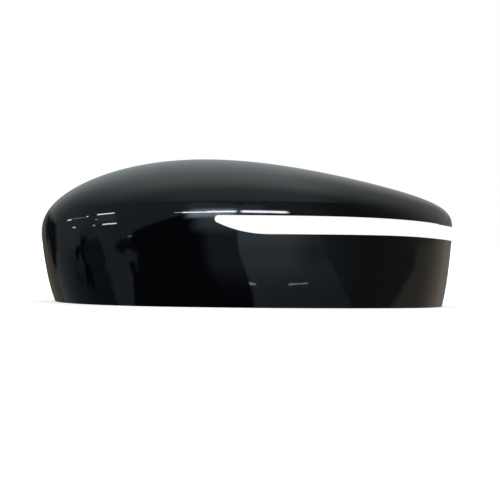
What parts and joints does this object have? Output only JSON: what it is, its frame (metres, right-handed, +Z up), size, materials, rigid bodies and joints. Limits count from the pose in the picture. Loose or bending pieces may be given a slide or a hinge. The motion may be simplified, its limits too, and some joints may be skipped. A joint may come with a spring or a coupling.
{
  "type": "wing mirror cover",
  "caption": "Gloss black upper cover for a car's wing mirror, a thin domed shell open at the back and below, with a long slot for the turn lamp.",
  "frame": {"origin": "centre of the bounding box, on the plane of the lower rim", "axes": "+X to the outboard end, +Y to the rear, where the mirror glass is, +Z up"},
  "size_m": [0.2344, 0.1068, 0.0818],
  "materials": {
    "cover": "gloss black paint outside, bare satin black moulding inside"
  },
  "bodies": {
    "root": {"wing_mirror_cover": "cover"}
  },
  "joints": []
}
